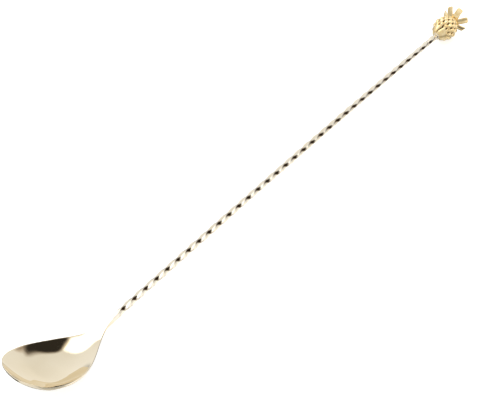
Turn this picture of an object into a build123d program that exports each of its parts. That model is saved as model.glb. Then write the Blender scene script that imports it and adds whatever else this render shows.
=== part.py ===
from build123d import *
import math
import os

# Bar spoon: a pressed bowl, a twisted square shaft and a cast pineapple finial.
# Model frame while drawing: +X runs along the shaft from bowl to finial, +Z is up
# out of the bowl, and x = 0 is where the twist begins. place() then stands the
# finished spoon on its bowl and on one crown leaf.

# ---- driving dimensions, millimetres and degrees ----
BAR_SIDE = 2.3              # square bar of the shaft
QUARTER_TURN = 7.1          # length of shaft for each 90 degrees of twist
QUARTER_TURNS = 36          # shaft length in quarter turns, twisted left-handed
TWIST_LEAD = 6.0            # the twist builds up to its full pitch over this length
SHAFT_BOW = 1.6             # rise of the shaft's middle above its ends
SECTIONS_PER_QUARTER = 4    # lofted sections in each quarter turn

WELD_LENGTH = 1.0           # butt weld between neck and shaft, ground flush

BOWL_TIP = -52.8
UNDERSIDE_DISH = 0.96       # the underside is a little flatter, which keeps the rim from thinning
PRESS_HALF_WIDTH = 18.0     # half the width of the pressed surfaces before trimming
PRESS_TOP = 40.0            # height of the press blocks, clear above the rim

SPIGOT_RADIUS = 0.95        # turned end of the shaft inside the finial
SPIGOT_LENGTH = 7.0
SOLDER_FILM = 0.12          # thickness of the solder round the spigot
SOLDER_PAD_RADIUS = 1.9

FRUIT_LENGTH = 16.0
EYES_ROUND = 12             # eyes in each ring
EYE_RINGS = 5
EYE_HEIGHT = 0.45           # how far an eye stands out of the fruit
EYE_FULLNESS = 0.85         # radius of an eye as a share of half its pitch
EYE_MARGIN = 0.14           # share of the fruit's side left plain at each end

PEG_RADIUS = 1.1            # crown peg, soldered into the top of the fruit
PEG_LENGTH = 3.5
PEG_CLEARANCE = 0.03
CROWN_BASE_RADIUS = 2.6
CROWN_BASE_HEIGHT = 1.3
LEAF_THICKNESS = 1.0

SHAFT_LENGTH = QUARTER_TURN * QUARTER_TURNS
FRUIT_START = SHAFT_LENGTH + SOLDER_FILM
FRUIT_END = FRUIT_START + FRUIT_LENGTH

# Bowl stations from the neck to the tip: x, height of the centre line of the upper
# surface, dish, rim easing, wall thickness. Away from the centre line the upper
# surface stands at centre + dish * y**2 - easing * y**4.
BOWL_STATIONS = [
    (3.0, BAR_SIDE / 2, 0.0, 0.0, BAR_SIDE),
    (-1.0, BAR_SIDE / 2, 0.0, 0.0, BAR_SIDE),
    (-5.0, 0.37, 0.0, 0.0, 1.4),
    (-9.5, -0.43, 0.0105, 0.00005, 1.05),
    (-14.0, -1.04, 0.0325, 0.00014, 0.95),
    (-18.0, -1.50, 0.0419, 0.00013, 0.9),
    (-22.0, -1.80, 0.0431, 0.0001, 0.9),
    (-26.0, -1.77, 0.0384, 0.000055, 0.9),
    (-30.0, -1.31, 0.0320, 0.00002, 0.9),
    (-34.0, -0.63, 0.0288, 0.000004, 0.9),
    (-38.0, 0.0, 0.0296, 0.0, 0.9),
    (-41.5, 0.86, 0.0328, 0.000005, 0.9),
    (-44.5, 2.50, 0.0348, 0.000015, 0.85),
    (-47.5, 4.55, 0.0362, 0.00003, 0.85),
    (-50.0, 7.20, 0.0386, 0.00006, 0.8),
    (-52.4, 10.65, 0.0445, 0.00008, 0.8),
    (-54.5, 14.3, 0.0480, 0.0001, 0.8),
]

# Plan outline of the bowl and neck, tip to neck end: x, half width.
BOWL_OUTLINE = [
    (BOWL_TIP, 0.0),
    (-47.8, 12.7),
    (-38.5, 15.1),
    (-27.5, 12.55),
    (-18.0, 7.8),
    (-10.5, 3.65),
    (-5.5, 1.85),
    (-WELD_LENGTH, BAR_SIDE / 2),
]

# Fruit profile between the eyes: share of its length from the base, radius.
FRUIT_PROFILE = [(0, 2.0), (0.15, 3.4), (0.35, 5.1), (0.55, 5.85), (0.75, 5.25), (0.9, 4.1), (1, 2.9)]

# Crown leaves, as angles about the shaft from straight up towards +Y.
OUTER_LEAF_ANGLES = [-132, -76, -20, 33, 84, 132, 180]
INNER_LEAF_ANGLES = [-100, -28, 44, 116, 188]

# Leaf stations: distance above the fruit, distance from the axis, width.
OUTER_LEAF = [(0.75, 1.2, 2.4), (1.6, 3.0, 2.9), (3.0, 5.0, 3.2), (4.6, 6.8, 2.9)]
INNER_LEAF = [(0.9, 0.5, 1.4), (2.9, 1.2, 2.2), (5.0, 2.6, 1.6)]


def bow_height(x):
    """Height of the shaft's centre line: a shallow arch between its two ends."""
    half = SHAFT_LENGTH / 2
    return SHAFT_BOW * (1 - ((x - half) / half) ** 2)


def across(x, z=0.0):
    """Plane across the spoon at x, with its own X along +Y and its own Y along +Z."""
    return Plane(origin=(x, 0, z), x_dir=(0, 1, 0), z_dir=(1, 0, 0))


def press_section(x, centre, dish, easing):
    """Closed section of a press block: a quartic curve below, straight sides and top."""
    w = PRESS_HALF_WIDTH
    square = dish * w**2
    fourth = easing * w**4
    edge = centre + square - fourth
    knee = centre + fourth
    middle = centre - square / 3 - fourth
    curve = Bezier((-w, edge), (-w / 2, knee), (0, middle), (w / 2, knee), (w, edge))
    cap = Polyline((w, edge), (w, PRESS_TOP), (-w, PRESS_TOP), (-w, edge))
    return across(x) * make_face(curve + cap)


def wall_drop(index):
    """Height of the wall at a station, measured straight down through its slope."""
    before = BOWL_STATIONS[max(index - 1, 0)]
    after = BOWL_STATIONS[min(index + 1, len(BOWL_STATIONS) - 1)]
    slope = (after[1] - before[1]) / (after[0] - before[0])
    return BOWL_STATIONS[index][-1] * math.sqrt(1 + slope * slope)


def make_bowl():
    """Sheet between an upper and a lower pressed surface, trimmed to the outline."""
    upper = []
    lower = []
    for index, (x, centre, dish, easing, wall) in enumerate(BOWL_STATIONS):
        upper.append(press_section(x, centre, dish, easing))
        below = centre - wall_drop(index)
        lower.append(press_section(x, below, dish * UNDERSIDE_DISH, easing * UNDERSIDE_DISH))
    side = Spline(*BOWL_OUTLINE, tangents=[(0, 1), (1, -0.05)])
    end_x, end_y = BOWL_OUTLINE[-1]
    end = Line((end_x, end_y), (end_x, -end_y))
    outline = make_face(side + end + mirror(side, about=Plane.XZ))
    block = Pos(0, 0, -PRESS_TOP) * extrude(outline, 2 * PRESS_TOP)
    return loft(lower) & block - loft(upper)


def make_neck_weld():
    return Pos(-WELD_LENGTH / 2, 0, 0) * Box(WELD_LENGTH, BAR_SIDE, BAR_SIDE)


def twist(x):
    """Turn of the bar at x in degrees, starting flat with the neck."""
    if x < TWIST_LEAD:
        return -90 * x * x / (2 * TWIST_LEAD) / QUARTER_TURN
    return -90 * (x - TWIST_LEAD / 2) / QUARTER_TURN


def shaft_section(x):
    return across(x, bow_height(x)) * Rot(0, 0, twist(x)) * Rectangle(BAR_SIDE, BAR_SIDE)


def make_shaft():
    """Twisted square bar with a round spigot turned on its finial end."""
    count = QUARTER_TURNS * SECTIONS_PER_QUARTER
    bar = loft([shaft_section(SHAFT_LENGTH * i / count) for i in range(count + 1)])
    spigot = extrude(across(SHAFT_LENGTH) * Circle(SPIGOT_RADIUS), SPIGOT_LENGTH)
    return bar + spigot


def make_finial_solder():
    """Solder pad under the fruit, with a sleeve round the spigot."""
    bore = across(SHAFT_LENGTH) * Circle(SPIGOT_RADIUS)
    pad = extrude(across(SHAFT_LENGTH) * Circle(SOLDER_PAD_RADIUS), SOLDER_FILM)
    sleeve = extrude(across(SHAFT_LENGTH) * Circle(SPIGOT_RADIUS + SOLDER_FILM), SPIGOT_LENGTH)
    return pad + sleeve - extrude(bore, SPIGOT_LENGTH)


def make_pineapple_body():
    """Egg-shaped casting with rings of rounded eyes and a blind socket at each end."""
    points = [(FRUIT_START + FRUIT_LENGTH * share, radius) for share, radius in FRUIT_PROFILE]
    side = Spline(*points)
    ends = Polyline(points[-1], (FRUIT_END, 0), (FRUIT_START, 0), points[0])
    fruit = revolve(make_face(side + ends), Axis.X)
    eyes = []
    for ring in range(EYE_RINGS):
        centre = side @ (EYE_MARGIN + (1 - 2 * EYE_MARGIN) * ring / (EYE_RINGS - 1))
        eye = EYE_FULLNESS * math.pi * centre.Y / EYES_ROUND
        reach = centre.Y + EYE_HEIGHT - eye
        for place in range(EYES_ROUND):
            angle = 2 * math.pi * (place + 0.5 * (ring % 2)) / EYES_ROUND
            middle = Pos(centre.X, reach * math.sin(angle), reach * math.cos(angle))
            eyes.append(middle * Sphere(eye))
    fruit = fruit + eyes
    socket_depth = SPIGOT_LENGTH - SOLDER_FILM
    socket = extrude(across(FRUIT_START) * Circle(SPIGOT_RADIUS + SOLDER_FILM), socket_depth)
    peg_hole = extrude(across(FRUIT_END) * Circle(PEG_RADIUS + PEG_CLEARANCE), -PEG_LENGTH)
    return fruit - socket - peg_hole


def make_leaf(stations, angle):
    """Blade lofted outwards from the crown's base, thick and square-ended."""
    sections = []
    for index, (rise, reach, width) in enumerate(stations):
        before = stations[max(index - 1, 0)]
        after = stations[min(index + 1, len(stations) - 1)]
        along = (after[0] - before[0], 0, after[1] - before[1])
        plane = Plane(origin=(FRUIT_END + rise, 0, reach), x_dir=(0, 1, 0), z_dir=along)
        sections.append(plane * Rectangle(width, LEAF_THICKNESS))
    return loft(sections).rotate(Axis.X, -angle)


def make_pineapple_crown():
    """Rosette of splayed leaves round a shorter upright tuft, on a pegged base."""
    base = extrude(across(FRUIT_END) * Circle(CROWN_BASE_RADIUS), CROWN_BASE_HEIGHT)
    peg = extrude(across(FRUIT_END) * Circle(PEG_RADIUS), -PEG_LENGTH)
    leaves = [make_leaf(OUTER_LEAF, angle) for angle in OUTER_LEAF_ANGLES]
    leaves += [make_leaf(INNER_LEAF, angle) for angle in INNER_LEAF_ANGLES]
    return base + peg + leaves


def lowest_point(part):
    """x and z of the lowest point of a part, x taken from a thin slice there."""
    bottom = part.bounding_box().min.Z
    slab = Pos(0, 0, bottom) * Box(1000, 1000, 0.02)
    return (part & slab).bounding_box().center().X, bottom


def place(parts):
    """Tilt the spoon until bowl and crown are level, then centre it over the origin."""
    bowl_x, bowl_z = lowest_point(parts["bowl"])
    crown_x, crown_z = lowest_point(parts["pineapple_crown"])
    tilt = math.degrees(math.atan2(bowl_z - crown_z, crown_x - bowl_x))
    tilted = {name: part.rotate(Axis.Y, -tilt) for name, part in parts.items()}
    boxes = [part.bounding_box() for part in tilted.values()]
    middle_x = (min(box.min.X for box in boxes) + max(box.max.X for box in boxes)) / 2
    middle_y = (min(box.min.Y for box in boxes) + max(box.max.Y for box in boxes)) / 2
    shift = Pos(-middle_x, -middle_y, -min(box.min.Z for box in boxes))
    return {name: shift * part for name, part in tilted.items()}


parts = place({
    "bowl": make_bowl(),
    "neck_weld": make_neck_weld(),
    "shaft": make_shaft(),
    "finial_solder": make_finial_solder(),
    "pineapple_body": make_pineapple_body(),
    "pineapple_crown": make_pineapple_crown(),
})

os.makedirs("parts", exist_ok=True)
for name, part in parts.items():
    export_step(part, f"parts/{name}.step")
    box = part.bounding_box()
    print(name, "volume", round(part.volume, 1), "low", box.min, "high", box.max)
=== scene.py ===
import math

import bmesh
import bpy
import numpy as np
from mathutils import Matrix, Vector


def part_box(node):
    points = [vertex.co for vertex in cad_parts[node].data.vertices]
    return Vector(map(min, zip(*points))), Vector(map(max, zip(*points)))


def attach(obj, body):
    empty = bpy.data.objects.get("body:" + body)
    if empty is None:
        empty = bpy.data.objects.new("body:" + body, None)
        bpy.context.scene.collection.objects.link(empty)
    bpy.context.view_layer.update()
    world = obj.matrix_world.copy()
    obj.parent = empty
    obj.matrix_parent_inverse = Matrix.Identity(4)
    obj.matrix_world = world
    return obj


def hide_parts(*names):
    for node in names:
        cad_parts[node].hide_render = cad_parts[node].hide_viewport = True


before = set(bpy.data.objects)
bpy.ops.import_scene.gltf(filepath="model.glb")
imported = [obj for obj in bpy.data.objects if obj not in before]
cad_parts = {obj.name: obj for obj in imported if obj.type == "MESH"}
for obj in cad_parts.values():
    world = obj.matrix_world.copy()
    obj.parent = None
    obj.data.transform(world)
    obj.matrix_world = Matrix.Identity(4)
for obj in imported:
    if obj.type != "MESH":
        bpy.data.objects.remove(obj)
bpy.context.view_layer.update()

# ---------------------------------------------------------------- dimensions
# Millimetres, in the drawing frame of the part: +X along the shaft, x = 0 where
# the twist begins, +Z up out of the bowl. TO_ROW takes a point to the row frame.
TILT = math.radians(0.83925)
BAR_SIDE = 2.3
QUARTER_TURN = 7.1
SHAFT_LENGTH = 36 * QUARTER_TURN
TWIST_LEAD = 6.0
SHAFT_BOW = 1.6
WELD_LENGTH = 1.0
NECK_DROP = 0.17            # slope of the ground joint's top, down towards the bowl
CORNER = 0.2                # rounding of the bowl's rim
BAR_CORNER = 0.15           # rounding of the bar's edges
SHARP_ANGLE = 50            # edges sharper than this stay crisp, degrees
FRUIT_START = SHAFT_LENGTH + 0.12
FRUIT_LENGTH = 16.0
FRUIT_END = FRUIT_START + FRUIT_LENGTH

# x, height of the upper surface's centre line, dish, rim easing, wall thickness
BOWL_STATIONS = [
    (0.0, 1.15, 0.0, 0.0, 2.3),
    (-1.0, 0.98, 0.0, 0.0, 2.1),
    (-5.0, 0.37, 0.0, 0.0, 1.2),
    (-9.5, -0.43, 0.0105, 0.00005, 0.95),
    (-14.0, -1.04, 0.0325, 0.00014, 0.95),
    (-18.0, -1.50, 0.0419, 0.00013, 0.9),
    (-22.0, -1.80, 0.0431, 0.0001, 0.9),
    (-26.0, -1.77, 0.0384, 0.000055, 0.9),
    (-30.0, -1.31, 0.0320, 0.00002, 0.9),
    (-34.0, -0.63, 0.0288, 0.000004, 0.9),
    (-38.0, 0.0, 0.0296, 0.0, 0.9),
    (-41.5, 0.86, 0.0328, 0.000005, 0.9),
    (-44.5, 2.50, 0.0348, 0.000015, 0.85),
    (-47.5, 4.55, 0.0362, 0.00003, 0.85),
    (-50.0, 7.20, 0.0386, 0.00006, 0.8),
    (-52.4, 10.65, 0.0445, 0.00008, 0.8),
    (-54.5, 14.3, 0.0480, 0.0001, 0.8),
]
UNDERSIDE_DISH = 0.96
# x, half width
BOWL_OUTLINE = [
    (-52.8, 0.0),
    (-47.8, 12.7),
    (-38.5, 15.1),
    (-27.5, 12.55),
    (-18.0, 7.8),
    (-10.5, 3.65),
    (-5.5, 1.85),
    (-1.0, 1.15),
]
# Share of the fruit's length, radius
FRUIT_PROFILE = [
    (0, 2.0), (0.15, 3.4), (0.35, 5.1), (0.55, 5.85), (0.75, 5.25), (0.9, 4.1), (1, 2.9)
]

# ---------------------------------------------------------------- frame
weld_low, weld_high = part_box("neck_weld")
half = BAR_SIDE / 2000
ORIGIN = Vector((
    weld_high.x - half * math.sin(TILT),
    (weld_low.y + weld_high.y) / 2,
    weld_high.z - half * math.cos(TILT),
))
TO_ROW = Matrix.Translation(ORIGIN) @ Matrix.Rotation(-TILT, 4, "Y") @ Matrix.Scale(0.001, 4)


def add_object(name, verts, faces, sharp=0):
    """Smooth mesh object in the row frame from points in the drawing frame."""
    mesh = bpy.data.meshes.new(name)
    mesh.from_pydata([TO_ROW @ Vector(v) for v in verts], [], faces)
    mesh.validate()
    bm = bmesh.new()
    bm.from_mesh(mesh)
    bmesh.ops.recalc_face_normals(bm, faces=bm.faces)
    bm.to_mesh(mesh)
    bm.free()
    for polygon in mesh.polygons:
        polygon.use_smooth = True
    if sharp:
        mesh.set_sharp_from_angle(angle=math.radians(sharp))
    obj = bpy.data.objects.new(name, mesh)
    bpy.context.scene.collection.objects.link(obj)
    return obj


class Curve1D:
    """Cubic spline through points; end slopes are natural unless they are given."""

    def __init__(self, xs, ys, start=None, end=None):
        self.x = np.array(xs, float)
        self.y = np.array(ys, float)
        n = len(xs)
        h = np.diff(self.x)
        a = np.zeros((n, n))
        b = np.zeros(n)
        for i in range(1, n - 1):
            a[i, i - 1 : i + 2] = h[i - 1], 2 * (h[i - 1] + h[i]), h[i]
            b[i] = 6 * ((self.y[i + 1] - self.y[i]) / h[i] - (self.y[i] - self.y[i - 1]) / h[i - 1])
        a[0, 0] = a[-1, -1] = 1
        if start is not None:
            a[0, :2] = 2 * h[0], h[0]
            b[0] = 6 * ((self.y[1] - self.y[0]) / h[0] - start)
        if end is not None:
            a[-1, -2:] = h[-1], 2 * h[-1]
            b[-1] = 6 * (end - (self.y[-1] - self.y[-2]) / h[-1])
        self.m = np.linalg.solve(a, b)

    def __call__(self, t):
        i = int(np.clip(np.searchsorted(self.x, t) - 1, 0, len(self.x) - 2))
        h = self.x[i + 1] - self.x[i]
        p = (self.x[i + 1] - t) / h
        q = 1 - p
        bend = (p**3 - p) * self.m[i] + (q**3 - q) * self.m[i + 1]
        return p * self.y[i] + q * self.y[i + 1] + bend * h * h / 6


# ---------------------------------------------------------------- bowl
stations = sorted(BOWL_STATIONS)
station_x = [s[0] for s in stations]
drops = []
for i, s in enumerate(stations):
    before, after = stations[max(i - 1, 0)], stations[min(i + 1, len(stations) - 1)]
    slope = (after[1] - before[1]) / (after[0] - before[0])
    drops.append(s[4] * math.sqrt(1 + slope * slope))
centre_line = Curve1D(station_x, [s[1] for s in stations])
dish = Curve1D(station_x, [s[2] for s in stations])
easing = Curve1D(station_x, [s[3] for s in stations])
under_line = Curve1D(station_x, [s[1] - d for s, d in zip(stations, drops)])

chord = [0.0]
for a, b in zip(BOWL_OUTLINE, BOWL_OUTLINE[1:]):
    chord.append(chord[-1] + math.dist(a, b))
outline_x = Curve1D(chord, [p[0] for p in BOWL_OUTLINE], 0.0, 1.0)
outline_y = Curve1D(chord, [p[1] for p in BOWL_OUTLINE], 1.0, -0.05)
OUTLINE_LENGTH = chord[-1]
TIP_ARC = 13.0              # length of outline that closes the round end, each side


def rise(x, y):
    return dish(x) * y * y - easing(x) * y**4


def upper_z(x, y):
    return centre_line(x) + rise(x, y)


def lower_z(x, y):
    return under_line(x) + UNDERSIDE_DISH * rise(x, y)


def outline_point(t, inset):
    """Point on the outline at a signed length from the tip, moved inwards."""
    side = 1 if t >= 0 else -1
    t = abs(t)
    d = 0.01
    ax, ay = outline_x(max(t - d, 0)), outline_y(max(t - d, 0))
    bx, by = outline_x(min(t + d, OUTLINE_LENGTH)), outline_y(min(t + d, OUTLINE_LENGTH))
    if t < d:
        ax, ay = bx, -by
    length = math.hypot(bx - ax, by - ay)
    nx, ny = -(by - ay) / length, (bx - ax) / length
    if t > OUTLINE_LENGTH - d:
        nx, ny = 0.0, 1.0
    return outline_x(t) - nx * inset, side * (outline_y(t) - ny * inset)


def make_bowl():
    """Sheet with a rounded rim: an upper and a lower grid joined by rolled edges."""
    along, across, arc = 150, 64, 5
    tip_ts = [-TIP_ARC + 2 * TIP_ARC * j / across for j in range(across + 1)]
    side_ts = [TIP_ARC + (OUTLINE_LENGTH - TIP_ARC) * i / along for i in range(along + 1)]

    neck_half = BAR_SIDE / 2 - CORNER
    c00, c01 = outline_point(-TIP_ARC, CORNER), outline_point(TIP_ARC, CORNER)
    c10, c11 = (-WELD_LENGTH, -neck_half), (-WELD_LENGTH, neck_half)

    def grid(z_of):
        """Points blended between the four sides of the outline, on one face."""
        rows = []
        for i in range(along + 1):
            u = i / along
            left, right = outline_point(-side_ts[i], CORNER), outline_point(side_ts[i], CORNER)
            row = []
            for j in range(across + 1):
                v = j / across
                tip = outline_point(tip_ts[j], CORNER)
                end = (-WELD_LENGTH, (2 * v - 1) * neck_half)
                point = []
                for k in range(2):
                    sides = (1 - u) * tip[k] + u * end[k] + (1 - v) * left[k] + v * right[k]
                    corners = (1 - u) * ((1 - v) * c00[k] + v * c01[k])
                    corners += u * ((1 - v) * c10[k] + v * c11[k])
                    point.append(sides - corners)
                row.append((point[0], point[1], z_of(*point)))
            rows.append(row)
        return rows

    upper, lower = grid(upper_z), grid(lower_z)
    verts, faces = [], []

    def put(point):
        verts.append(point)
        return len(verts) - 1

    top = [[put(p) for p in row] for row in upper]
    bottom = [[put(p) for p in row] for row in lower]
    for i in range(along):
        for j in range(across):
            faces.append((top[i][j], top[i + 1][j], top[i + 1][j + 1], top[i][j + 1]))
            faces.append((bottom[i][j], bottom[i][j + 1], bottom[i + 1][j + 1], bottom[i + 1][j]))

    loop = [(-side_ts[i], top[i][0], bottom[i][0]) for i in range(along, 0, -1)]
    loop += [(tip_ts[j], top[0][j], bottom[0][j]) for j in range(across + 1)]
    loop += [(side_ts[i], top[i][across], bottom[i][across]) for i in range(1, along + 1)]
    columns = []
    for t, above, below in loop:
        column = [above]
        for k in range(1, arc + 1):
            a = math.pi / 2 * k / arc
            x, y = outline_point(t, CORNER * (1 - math.sin(a)))
            column.append(put((x, y, upper_z(x, y) - CORNER * (1 - math.cos(a)))))
        for k in range(arc, 0, -1):
            a = math.pi / 2 * k / arc
            x, y = outline_point(t, CORNER * (1 - math.sin(a)))
            column.append(put((x, y, lower_z(x, y) + CORNER * (1 - math.cos(a)))))
        column.append(below)
        columns.append(column)
    for a, b in zip(columns, columns[1:]):
        for k in range(len(a) - 1):
            faces.append((a[k], a[k + 1], b[k + 1], b[k]))
    cap = list(reversed(columns[0])) + top[along][1:-1] + columns[-1]
    cap += list(reversed(bottom[along][1:-1]))
    faces.append(cap)
    return add_object("bowl_pressed", verts, faces, SHARP_ANGLE)


# ---------------------------------------------------------------- bar
def rounded_square(side, corner, steps=6):
    """Corner-rounded square section, anticlockwise, with points along its flats."""
    h = side / 2 - corner
    points = []
    for quarter in range(4):
        start = math.pi / 2 * quarter
        cx = h * (1 if quarter in (0, 3) else -1)
        cy = h * (1 if quarter in (0, 1) else -1)
        for k in range(steps + 1):
            a = start + math.pi / 2 * k / steps
            points.append((cx + corner * math.cos(a), cy + corner * math.sin(a)))
        a = start + math.pi / 2
        nx = h * (1 if (quarter + 1) % 4 in (0, 3) else -1)
        ny = h * (1 if (quarter + 1) % 4 in (0, 1) else -1)
        x0, y0 = points[-1]
        x1, y1 = nx + corner * math.cos(a), ny + corner * math.sin(a)
        for k in (1, 2, 3, 4, 5):
            points.append((x0 + (x1 - x0) * k / 6, y0 + (y1 - y0) * k / 6))
    return points


def bow_height(x):
    middle = SHAFT_LENGTH / 2
    return SHAFT_BOW * (1 - ((x - middle) / middle) ** 2) if x > 0 else 0.0


def twist(x):
    """Turn of the bar at x, in radians."""
    if x <= 0:
        return 0.0
    if x < TWIST_LEAD:
        return -math.pi / 2 * x * x / (2 * TWIST_LEAD) / QUARTER_TURN
    return -math.pi / 2 * (x - TWIST_LEAD / 2) / QUARTER_TURN


def make_bar(name, start, end, step):
    """Rounded square bar that follows the twist and the bow, about one ring a step."""
    section = rounded_square(BAR_SIDE, BAR_CORNER)
    count = max(2, round((end - start) / step))
    verts, faces = [], []
    for i in range(count + 1):
        x = start + (end - start) * i / count
        c, s = math.cos(twist(x)), math.sin(twist(x))
        for y, z in section:
            top = NECK_DROP * min(0.0, x) if z > 0 else 0.0
            verts.append((x, c * y - s * z, s * y + c * z + bow_height(x) + top))
    n = len(section)
    for i in range(count):
        for k in range(n):
            a, b = i * n + k, i * n + (k + 1) % n
            faces.append((a, b, b + n, a + n))
    faces.append(list(range(n)))
    faces.append([count * n + k for k in range(n)])
    return add_object(name, verts, faces, SHARP_ANGLE)


FILLET_LENGTH = 0.4
FILLET_RADIUS = 1.3         # where it leaves the bar
FILLET_FLARE = 0.5          # how much wider it is at the fruit
FILLET_STEPS = 12


def make_solder_fillet():
    """Concave collar of solder where the bar meets the fruit."""
    around = 64
    rings = [(SHAFT_LENGTH - FILLET_LENGTH - 0.02, FILLET_RADIUS - 0.2)]
    for k in range(FILLET_STEPS + 1):
        a = math.pi / 2 * k / FILLET_STEPS
        x = SHAFT_LENGTH - FILLET_LENGTH * (1 - math.sin(a))
        rings.append((x, FILLET_RADIUS + FILLET_FLARE * (1 - math.cos(a))))
    rings.append((FRUIT_START, FILLET_RADIUS + FILLET_FLARE + 0.05))
    verts, faces = [], []
    for x, r in rings:
        z = bow_height(min(x, SHAFT_LENGTH))
        for k in range(around):
            a = 2 * math.pi * k / around
            verts.append((x, r * math.sin(a), r * math.cos(a) + z))
    for i in range(len(rings) - 1):
        for k in range(around):
            p, q = i * around + k, i * around + (k + 1) % around
            faces.append((p, q, q + around, p + around))
    faces.append(list(range(around)))
    faces.append([(len(rings) - 1) * around + k for k in range(around)])
    return add_object("finial_fillet", verts, faces)


# ---------------------------------------------------------------- fruit
EYES_ROUND = 12
EYE_ROW = 2.6               # between rows of eyes, along the fruit
FIRST_ROW = 4.6
EYE_HEIGHT = 0.58
PIT_DEPTH = 0.8             # of the pits between eyes and the grooves between lobes
SKIN_SINK = 0.25            # the skin between eyes lies this far below the profile
SEPAL_EDGES = (12, 118, 208)    # grooves between the smooth lobes at the base, degrees
SEPAL_SLANT = 8             # how far the grooves turn, degrees per mm
SEPAL_FADE = (3.5, 4.9)     # where the lobes give way to the eyes
GROOVE_WIDTH = 8.0          # degrees
fruit_radius = Curve1D([p[0] for p in FRUIT_PROFILE], [p[1] for p in FRUIT_PROFILE])


def ease(value, low, high):
    t = min(1.0, max(0.0, (value - low) / (high - low)))
    return t * t * (3 - 2 * t)


def eye_relief(turn, x):
    """Height of the diamond eyes, 1 on an eye, and how deep in a pit the point is."""
    ring = (x - FIRST_ROW) / EYE_ROW
    row = math.floor(ring)
    best = 2.0
    corner = 2.0
    for r in (row, row + 1):
        shift = 0.5 * (r % 2)
        a = turn * EYES_ROUND - shift
        da = a - round(a)
        db = ring - r
        best = min(best, abs(2 * da) + abs(db))
        corner = min(corner, math.hypot(2 * (abs(da) - 0.5), 0.8 * db))
    body = max(0.0, 1 - best**2.6)
    nub = math.exp(-((best / 0.3) ** 2))
    pit = math.exp(-((corner / 0.28) ** 2))
    return body + 0.2 * nub, pit


def sepal_relief(turn, x):
    """Smooth lobe height and the slanting groove between two lobes."""
    gap = 180.0
    for edge in SEPAL_EDGES:
        gap = min(gap, abs((turn * 360 + SEPAL_SLANT * x - edge + 180) % 360 - 180))
    off = min(1.0, gap / 60)
    groove = math.exp(-((gap / GROOVE_WIDTH) ** 2))
    return 0.55 + 0.35 * off**0.6, groove


def make_fruit():
    """Turned body carved with eyes, pits and lobes; keeps the carving as relief, which sets the
    painted shade in the pits and grooves.
    """
    around, along = 480, 200
    verts, faces, relief = [], [], []
    for i in range(along + 1):
        share = i / along
        x = FRUIT_LENGTH * share
        sepal = 1 - ease(x, *SEPAL_FADE)
        top = 1 - ease(x, 15.0, FRUIT_LENGTH)
        start = ease(x, 0.0, 0.9)
        for k in range(around):
            turn = k / around
            eye, pit = eye_relief(turn, x)
            lobe, groove = sepal_relief(turn, x)
            height = (1 - sepal) * eye * top + sepal * lobe * start
            cut = pit * ease(x, 3.6, 4.5) * top + sepal * start * groove
            r = fruit_radius(share) - SKIN_SINK + EYE_HEIGHT * height - PIT_DEPTH * cut
            a = 2 * math.pi * turn
            verts.append((FRUIT_START + x, r * math.sin(a), r * math.cos(a)))
            # Low relief here becomes painted shade in the gold material
            relief.append(height - 1.6 * cut)
    for i in range(along):
        for k in range(around):
            p, q = i * around + k, i * around + (k + 1) % around
            faces.append((p, q, q + around, p + around))
    faces.append(list(range(around)))
    faces.append([along * around + k for k in range(around)])
    obj = add_object("pineapple_fruit", verts, faces)
    layer = obj.data.attributes.new("relief", "FLOAT", "POINT")
    layer.data.foreach_set("value", relief)
    return obj


# ---------------------------------------------------------------- crown
OUTER_ANGLES = [-132, -76, -20, 33, 79, 132, 180]
INNER_ANGLES = [-100, -28, 44, 116, 188]
# Stations of a blade: height above the fruit, reach from the axis, width
OUTER_LEAF = [(0.2, 0.6, 2.0), (0.75, 1.2, 2.4), (1.6, 3.0, 2.9), (3.0, 5.0, 3.2), (4.6, 6.8, 3.2)]
INNER_LEAF = [(0.2, 0.3, 1.2), (0.9, 0.5, 1.4), (2.9, 1.2, 2.2), (5.0, 2.6, 1.6)]
LEAF_THICKNESS = 1.0
LEAF_CHANNEL = 0.3          # rise of a blade's edges over its middle
LEAF_RIB = 0.025            # height of the fine ribs along a blade
LEAF_END = 0.86             # share of a blade after which its end rounds off
BOX_POWER = 0.55            # squareness of a blade's section, 1 is an ellipse
CROWN_BASE = [(0.0, 1.2), (0.0, 2.5), (0.35, 2.7), (0.9, 2.5), (1.3, 1.9), (1.5, 0.9)]


def signed_power(value):
    return math.copysign(abs(value) ** BOX_POWER, value)


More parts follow.
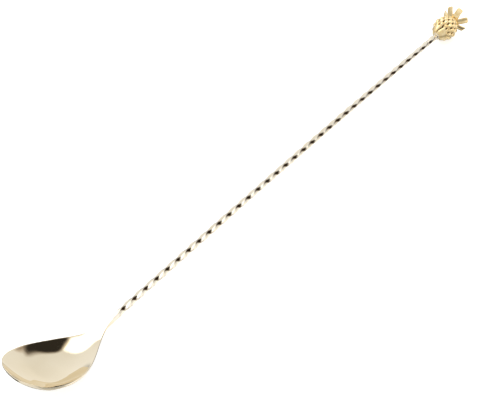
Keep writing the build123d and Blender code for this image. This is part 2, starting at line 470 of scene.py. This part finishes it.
def leaf_mesh(bm, leaf, angle):
    """Thick channelled blade with a blunt end, added to a bmesh."""
    knots = list(range(len(leaf)))
    rise_at = Curve1D(knots, [s[0] for s in leaf])
    reach_at = Curve1D(knots, [s[1] for s in leaf])
    width_at = Curve1D(knots, [s[2] for s in leaf])
    steps, ribs = 26, 48
    d = 0.01
    rings = []
    for i in range(steps + 1):
        t = knots[-1] * i / steps
        dx, dz = rise_at(t + d) - rise_at(t - d), reach_at(t + d) - reach_at(t - d)
        length = math.hypot(dx, dz)
        nx, nz = -dz / length, dx / length
        end = max(0.0, (i / steps - LEAF_END) / (1 - LEAF_END))
        shrink = math.sqrt(max(0.0, 1 - 0.35 * end**4))
        width = width_at(t)
        ring = []
        for k in range(ribs):
            a = 2 * math.pi * k / ribs
            y = width / 2 * signed_power(math.cos(a)) * shrink
            h = LEAF_THICKNESS / 2 * signed_power(math.sin(a)) * shrink
            h += LEAF_CHANNEL * (2 * y / width) ** 2
            h += LEAF_RIB * math.cos(8 * math.pi * y / width)
            ring.append((FRUIT_END + rise_at(t) + nx * h, y, reach_at(t) + nz * h))
        rings.append(ring)
    turn = Matrix.Rotation(-math.radians(angle), 3, "X")
    made = [[bm.verts.new(turn @ Vector(p)) for p in ring] for ring in rings]
    for a, b in zip(made, made[1:]):
        for k in range(ribs):
            bm.faces.new((a[k], a[(k + 1) % ribs], b[(k + 1) % ribs], b[k]))
    bm.faces.new(made[0])
    tip = [Vector(v.co) for v in made[-1]]
    centre = sum(tip, Vector()) / len(tip)
    along = (centre - sum((Vector(v.co) for v in made[-3]), Vector()) / ribs).normalized()
    inner = [bm.verts.new(centre + (p - centre) * 0.6 + along * 0.12) for p in tip]
    for k in range(ribs):
        bm.faces.new((made[-1][k], made[-1][(k + 1) % ribs], inner[(k + 1) % ribs], inner[k]))
    bm.faces.new(inner)


def make_crown():
    """Two rings of leaves on a turned base; relief is low only near the roots, which the gold
    darkens as painted shade.
    """
    bm = bmesh.new()
    around = 48
    circle = [2 * math.pi * k / around for k in range(around)]
    rings = []
    for rise_x, r in CROWN_BASE:
        x = FRUIT_END - 0.05 + rise_x
        rings.append([bm.verts.new((x, r * math.sin(a), r * math.cos(a))) for a in circle])
    for a, b in zip(rings, rings[1:]):
        for k in range(around):
            bm.faces.new((a[k], a[(k + 1) % around], b[(k + 1) % around], b[k]))
    bm.faces.new(rings[0])
    bm.faces.new(rings[-1])
    for angle in OUTER_ANGLES:
        leaf_mesh(bm, OUTER_LEAF, angle)
    for angle in INNER_ANGLES:
        leaf_mesh(bm, INNER_LEAF, angle)
    bmesh.ops.recalc_face_normals(bm, faces=bm.faces)
    for v in bm.verts:
        v.co = TO_ROW @ v.co
    mesh = bpy.data.meshes.new("pineapple_leaves")
    bm.to_mesh(mesh)
    bm.free()
    back = TO_ROW.inverted()
    # Relief falls towards the roots of the leaves: painted shade where they meet the fruit
    relief = []
    for v in mesh.vertices:
        x, y, z = back @ v.co
        relief.append(1.4 * ease(x - FRUIT_END + math.hypot(y, z) * 0.6, 0.6, 3.0) - 0.6)
    layer = mesh.attributes.new("relief", "FLOAT", "POINT")
    layer.data.foreach_set("value", relief)
    for polygon in mesh.polygons:
        polygon.use_smooth = True
    obj = bpy.data.objects.new("pineapple_leaves", mesh)
    bpy.context.scene.collection.objects.link(obj)
    return obj


# ---------------------------------------------------------------- materials
def new_material(name):
    """Material, its node tree and its shader, ready to be filled in."""
    mat = bpy.data.materials.new(name)
    mat.use_nodes = True
    tree = mat.node_tree
    tree.nodes.clear()
    out = tree.nodes.new("ShaderNodeOutputMaterial")
    shader = tree.nodes.new("ShaderNodeBsdfPrincipled")
    tree.links.new(shader.outputs[0], out.inputs[0])
    return mat, tree, shader


def coords(tree, scale=(1, 1, 1)):
    """Object coordinates, stretched where the scales differ."""
    source = tree.nodes.new("ShaderNodeTexCoord")
    mapping = tree.nodes.new("ShaderNodeMapping")
    mapping.inputs["Scale"].default_value = scale
    tree.links.new(source.outputs["Object"], mapping.inputs["Vector"])
    return mapping.outputs[0]


def noise(tree, vector, scale, detail=3.0, rough=0.5):
    node = tree.nodes.new("ShaderNodeTexNoise")
    node.inputs["Scale"].default_value = scale
    node.inputs["Detail"].default_value = detail
    node.inputs["Roughness"].default_value = rough
    tree.links.new(vector, node.inputs["Vector"])
    return node.outputs[0]


def ramp(tree, value, low, high, out_low, out_high):
    """Value mapped from one range to another and clamped to it."""
    node = tree.nodes.new("ShaderNodeMapRange")
    node.inputs["From Min"].default_value = low
    node.inputs["From Max"].default_value = high
    node.inputs["To Min"].default_value = out_low
    node.inputs["To Max"].default_value = out_high
    tree.links.new(value, node.inputs["Value"])
    return node.outputs[0]


def mix_colour(tree, factor, a, b):
    node = tree.nodes.new("ShaderNodeMix")
    node.data_type = "RGBA"
    tree.links.new(factor, node.inputs["Factor"])
    for key, colour in ((6, a), (7, b)):
        if isinstance(colour, tuple):
            node.inputs[key].default_value = (*colour, 1)
        else:
            tree.links.new(colour, node.inputs[key])
    return node.outputs[2]


def math_node(tree, kind, a, b):
    node = tree.nodes.new("ShaderNodeMath")
    node.operation = kind
    for i, value in enumerate((a, b)):
        if isinstance(value, (int, float)):
            node.inputs[i].default_value = value
        else:
            tree.links.new(value, node.inputs[i])
    return node.outputs[0]


def bump(tree, shader, height, distance):
    node = tree.nodes.new("ShaderNodeBump")
    node.inputs["Distance"].default_value = distance
    node.inputs["Strength"].default_value = 1.0
    tree.links.new(height, node.inputs["Height"])
    tree.links.new(node.outputs[0], shader.inputs["Normal"])


def plated_metal(name, light, deep):
    """Mirror-polished plate: faint tint drift, hairline scratches and polish ripple."""
    mat, tree, shader = new_material(name)
    shader.inputs["Metallic"].default_value = 1.0
    drift = noise(tree, coords(tree), 60.0, 2.0)
    colour = mix_colour(tree, ramp(tree, drift, 0.35, 0.65, 0.0, 1.0), light, deep)
    hair = noise(tree, coords(tree, (60, 900, 900)), 4.0, 4.0, 0.7)
    cloud = noise(tree, coords(tree), 240.0, 3.0)
    scratches = ramp(tree, hair, 0.62, 0.8, 0.0, 0.10)
    marks = math_node(tree, "ADD", scratches, ramp(tree, cloud, 0.4, 0.7, 0.0, 0.02))
    rough = math_node(tree, "ADD", marks, PLATE_ROUGHNESS)
    tree.links.new(colour, shader.inputs["Base Color"])
    tree.links.new(rough, shader.inputs["Roughness"])
    ripple = noise(tree, coords(tree), 320.0, 2.0)
    height = math_node(tree, "ADD", ripple, math_node(tree, "MULTIPLY", hair, 0.04))
    bump(tree, shader, height, PLATE_RIPPLE)
    return mat


def gold_plate():
    """Softer gold with a fine cast grain, and painted shade, dark brown, where the relief is low.
    """
    mat, tree, shader = new_material("gold_plate")
    shader.inputs["Metallic"].default_value = 1.0
    relief = tree.nodes.new("ShaderNodeAttribute")
    relief.attribute_name = "relief"
    drift = noise(tree, coords(tree), 500.0, 3.0)
    tint = ramp(tree, drift, 0.35, 0.65, 0.0, 1.0)
    body = mix_colour(tree, tint, (0.95, 0.77, 0.45), (0.86, 0.63, 0.30))
    # Painted shade: dark brown in the pits, the grooves and at the crown's roots, where the relief
    # is low
    painted_shade = ramp(tree, relief.outputs["Fac"], 0.2, -0.75, 0.0, 0.95)
    colour = mix_colour(tree, painted_shade, body, (0.10, 0.055, 0.02))
    tree.links.new(colour, shader.inputs["Base Color"])
    rough = ramp(tree, drift, 0.3, 0.7, 0.16, 0.26)
    tree.links.new(rough, shader.inputs["Roughness"])
    grain = noise(tree, coords(tree), 1800.0, 4.0, 0.6)
    bump(tree, shader, grain, GOLD_GRAIN)
    return mat


PLATE_ROUGHNESS = 0.035     # before scratches and clouding
PLATE_RIPPLE = 0.00001      # depth in metres
GOLD_GRAIN = 0.00004        # depth in metres
champagne = plated_metal("champagne_plate", (0.89, 0.795, 0.61), (0.85, 0.745, 0.55))
# Painted light: the bar gets the same plate made paler, standing in for the brighter light it
# catches
champagne_bar_painted_light = plated_metal("champagne_plate_bar_painted_light", (0.90, 0.83, 0.70), (0.86, 0.78, 0.63))
gold = gold_plate()

# ---------------------------------------------------------------- build
bowl = make_bowl()
weld = make_bar("neck_joint", -WELD_LENGTH, 0.0, 0.25)
shaft = make_bar("twisted_bar", 0.0, SHAFT_LENGTH, 0.3)
fillet = make_solder_fillet()
fruit = make_fruit()
crown = make_crown()

for obj, node, slot, mat in (
    (bowl, "bowl", "champagne_plate", champagne),
    (weld, "neck_weld", "champagne_plate", champagne),
    (shaft, "shaft", "champagne_plate", champagne_bar_painted_light),
    (fillet, "finial_solder", "solder", champagne),
    (fruit, "pineapple_body", "gold_plate", gold),
    (crown, "pineapple_crown", "gold_plate", gold),
):
    obj.data.materials.clear()
    obj.data.materials.append(mat)
    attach(obj, "root")
    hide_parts(node)

# ---------------------------------------------------------------- stage
FLOOR_REACH = 6.0           # metres from the origin to each edge
FLOOR_GLOW = 0.6
floor_mesh = bpy.data.meshes.new("floor")
corners = [(-1, -1, 0), (1, -1, 0), (1, 1, 0), (-1, 1, 0)]
floor_mesh.from_pydata([Vector(c) * FLOOR_REACH for c in corners], [], [(0, 1, 2, 3)])
floor = bpy.data.objects.new("floor", floor_mesh)
bpy.context.scene.collection.objects.link(floor)
floor_mat, _, floor_shader = new_material("floor_paper")
floor_shader.inputs["Base Color"].default_value = (0.9, 0.9, 0.9, 1)
floor_shader.inputs["Roughness"].default_value = 0.9
floor_shader.inputs["Specular IOR Level"].default_value = 0.0
floor_shader.inputs["Emission Color"].default_value = (1, 1, 1, 1)
floor_shader.inputs["Emission Strength"].default_value = FLOOR_GLOW
floor_mesh.materials.append(floor_mat)
floor.visible_glossy = False


def make_card(name, points, strength):
    """Pale glowing card that only reflections see; corners in the drawing frame."""
    mesh = bpy.data.meshes.new(name)
    mesh.from_pydata([TO_ROW @ Vector(p) for p in points], [], [(0, 1, 2, 3)])
    card = bpy.data.objects.new(name, mesh)
    bpy.context.scene.collection.objects.link(card)
    mat, _, shader = new_material(name + "_glow")
    shader.inputs["Base Color"].default_value = (0, 0, 0, 1)
    shader.inputs["Specular IOR Level"].default_value = 0.0
    shader.inputs["Emission Color"].default_value = (1, 1, 1, 1)
    shader.inputs["Emission Strength"].default_value = strength
    mesh.materials.append(mat)
    card.visible_camera = False
    card.visible_diffuse = False
    card.visible_shadow = False
    card.visible_transmission = False


near, far = FRUIT_START + 11, FRUIT_END + 30
make_card("fruit_card", [(near, -20, -2), (far, -20, -2), (far, 2, 20), (near, 2, 20)], 1.2)
make_card("neck_card", [(3.2, 7.6, 0.2), (9.4, 7.6, 0.2), (9.4, 2.0, 8.2), (3.2, 2.0, 8.2)], 1.5)

# ---------------------------------------------------------------- sky
# The strength of the sky is a pale base with soft zones laid over it. The zones
# overhead are drawn on a plan, (x, y) / (z + PLAN_LIFT), where x, y, z is the
# direction; the others are set by the direction itself.
PLAN_LIFT = 1.02
world = bpy.data.worlds.new("studio")
bpy.context.scene.world = world
world.use_nodes = True
tree = world.node_tree
tree.nodes.clear()
out = tree.nodes.new("ShaderNodeOutputWorld")
background = tree.nodes.new("ShaderNodeBackground")
tree.links.new(background.outputs[0], out.inputs[0])
direction = tree.nodes.new("ShaderNodeTexCoord")
split = tree.nodes.new("ShaderNodeSeparateXYZ")
tree.links.new(direction.outputs["Generated"], split.inputs[0])


def add(a, b):
    return math_node(tree, "ADD", a, b)


def minus(a, b):
    return math_node(tree, "SUBTRACT", a, b)


def both(a, b):
    """Product: the overlap of two masks, or a mask or value times a number."""
    return math_node(tree, "MULTIPLY", a, b)


def negative(value):
    return both(value, -1)


def smooth(value, low, high):
    """Soft step from 0 at low to 1 at high."""
    node = tree.nodes.new("ShaderNodeMapRange")
    node.interpolation_type = "SMOOTHSTEP"
    node.inputs["From Min"].default_value = low
    node.inputs["From Max"].default_value = high
    tree.links.new(value, node.inputs["Value"])
    return node.outputs[0]


def zone(*steps):
    """Mask that is 1 where every value is past its soft step."""
    mask = smooth(*steps[0])
    for step in steps[1:]:
        mask = both(mask, smooth(*step))
    return mask


def capsule(x0, y0, x1, y1, width0, width1, soft):
    """Soft mask of a tapering strip between two points of the plan."""
    length = math.hypot(x1 - x0, y1 - y0)
    ux, uy = (x1 - x0) / length, (y1 - y0) / length
    dx, dy = minus(plan_x, x0), minus(plan_y, y0)
    along = add(both(dx, ux), both(dy, uy))
    clamp = tree.nodes.new("ShaderNodeClamp")
    clamp.inputs["Max"].default_value = length
    tree.links.new(along, clamp.inputs[0])
    nearest = clamp.outputs[0]
    over = minus(along, nearest)
    off = minus(both(dx, -uy), both(dy, -ux))
    square = add(math_node(tree, "POWER", over, 2), math_node(tree, "POWER", off, 2))
    width = add(both(nearest, (width1 - width0) / length), width0)
    edge = minus(width, math_node(tree, "SQRT", square, 0))
    return smooth(edge, -soft / 2, soft / 2)


def blend(level, mask, value):
    """Level moved towards a value where the mask is 1."""
    return add(both(level, minus(1.0, mask)), both(mask, value))


sky_x, sky_y, sky_z = split.outputs[0], split.outputs[1], split.outputs[2]
lift = add(sky_z, PLAN_LIFT)
plan_x = math_node(tree, "DIVIDE", sky_x, lift)
plan_y = math_node(tree, "DIVIDE", sky_y, lift)
minus_x, minus_y, below = negative(sky_x), negative(sky_y), negative(sky_z)

# Base, rising a little towards +Y and +X
level = add(both(smooth(plan_y, -1.0, 0.8), 0.18), 0.76)
level = add(level, both(smooth(plan_x, 0.36, 0.6), 0.07))
# Overhead: the white patch in the bowl. Lower down, a pale strip towards -Y
white = zone((negative(plan_x), -0.232, -0.192), (plan_x, -0.12, -0.02),
             (plan_y, -0.20, -0.14), (negative(plan_y), -0.55, -0.45))
level = blend(level, white, 2.3)
level = blend(level, capsule(0.16, -0.62, 0.30, -1.1, 0.15, 0.25, 0.12), 1.3)
# Overhead: the dark patch in the bowl, and the dark spot on each quarter turn of the bar
DARK = 0.03
patch = capsule(0.24, -0.12, 0.38, -0.24, 0.069, 0.075, 0.07)
spots = capsule(0.30, -0.365, 1.05, -0.635, 0.15, 0.16, 0.10)
level = blend(level, patch, DARK)
level = blend(level, spots, DARK)
# Below the horizon: grey on the near side (-Y) and the far side (+Y), pale towards +X
aside = add(both(sky_x, -0.5), both(sky_y, -0.866))
near_side = zone((below, 0.15, 0.45), (sky_z, -0.8, -0.62), (aside, 0.35, 0.6))
level = blend(level, near_side, 0.4)
far_side = zone((below, -0.05, 0.1), (sky_z, -0.5, -0.35),
                (sky_x, 0.05, 0.25), (sky_y, 0.55, 0.7))
level = blend(level, far_side, 0.55)
right_side = zone((below, 0.2, 0.45), (sky_z, -0.8, -0.7),
                  (sky_x, 0.2, 0.45), (minus_y, -0.1, 0.2))
level = blend(level, right_side, 1.2)
# Straight ahead of the camera, which is what the outlines of the spoon reflect
ahead = add(add(both(sky_x, 0.62), both(sky_y, 0.47)), both(below, 0.63))
level = blend(level, smooth(ahead, 0.90, 0.955), 0.3)
# Steeply down towards +Y, straight down, low towards +X, and towards -X and +Y
level = blend(level, zone((sky_y, 0.47, 0.52), (below, 0.66, 0.72)), 0.08)
level = blend(level, smooth(below, 0.955, 0.985), 0.12)
level = blend(level, zone((below, 0.1, 0.3), (sky_x, 0.70, 0.79)), 0.35)
level = blend(level, zone((minus_x, 0.15, 0.35), (sky_y, 0.5, 0.75)), 0.6)
tint = mix_colour(tree, spots, (1.0, 1.0, 1.0), (1.0, 0.68, 0.42))
tree.links.new(mix_colour(tree, patch, tint, (1.0, 0.85, 0.7)), background.inputs["Color"])
tree.links.new(level, background.inputs["Strength"])

# ---------------------------------------------------------------- camera
# Fitted to the twist; its axes and place are given in the drawing frame
FOCAL_PIXELS, IMAGE_WIDTH, SENSOR_WIDTH = 1400, 482, 36
camera = bpy.data.objects.new("camera", bpy.data.cameras.new("camera"))
bpy.context.scene.collection.objects.link(camera)
right = Vector((0.5925389, -0.8053777, -0.0162541))
down = Vector((-0.5154543, -0.3635738, -0.7759642))
forward = Vector((0.6190347, 0.4681675, -0.6305671))
pose = Matrix((
    (right.x, -down.x, -forward.x, 0),
    (right.y, -down.y, -forward.y, 0),
    (right.z, -down.z, -forward.z, 0),
    (0, 0, 0, 1),
))
camera.matrix_world = Matrix.Rotation(-TILT, 4, "Y") @ pose
camera.matrix_world.translation = TO_ROW @ Vector((-290.6276, -285.8147, 387.9855))
camera.data.sensor_width = SENSOR_WIDTH
camera.data.lens = FOCAL_PIXELS / IMAGE_WIDTH * SENSOR_WIDTH
camera.data.clip_start = 0.01
camera.data.clip_end = 20
bpy.context.scene.camera = camera
bpy.context.scene.view_settings.view_transform = "Standard"
